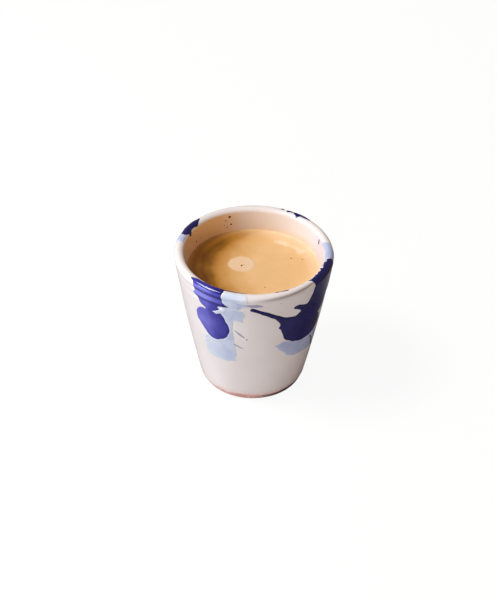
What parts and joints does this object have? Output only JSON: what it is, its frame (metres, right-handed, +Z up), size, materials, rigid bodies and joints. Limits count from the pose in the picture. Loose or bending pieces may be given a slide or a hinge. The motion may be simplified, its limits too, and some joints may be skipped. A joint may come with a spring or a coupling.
{
  "type": "shot cup",
  "caption": "Handleless tapered shot cup of red earthenware, glazed white, with blue glaze splashed over its round lip, holding espresso with crema.",
  "frame": {"origin": "under the middle of the foot, on the surface that the cup stands on", "axes": "+Z up along the cup's axis; -Y is the side that faces the picture's viewer, with +X to the viewer's right"},
  "size_m": [0.0651, 0.065, 0.0633],
  "materials": {
    "earthenware": "bare fired red clay, matt",
    "white_glaze": "glossy cream-white glaze",
    "cobalt_glaze": "glossy cobalt-blue glaze",
    "pale_glaze": "glossy pale blue glaze",
    "coffee": "dark clear liquid",
    "crema": "fine golden foam"
  },
  "bodies": {
    "root": {"clay_body": "earthenware", "white_glaze": "white_glaze", "cobalt_pour_front": "cobalt_glaze", "cobalt_pour_right": "cobalt_glaze", "cobalt_pour_left": "cobalt_glaze", "cobalt_pour_back": "cobalt_glaze", "pale_pour_front": "pale_glaze", "pale_pour_right": "pale_glaze", "pale_pour_rim": "pale_glaze", "pale_pour_left": "pale_glaze", "pale_pour_back": "pale_glaze", "coffee": "coffee", "crema": "crema"}
  },
  "joints": []
}
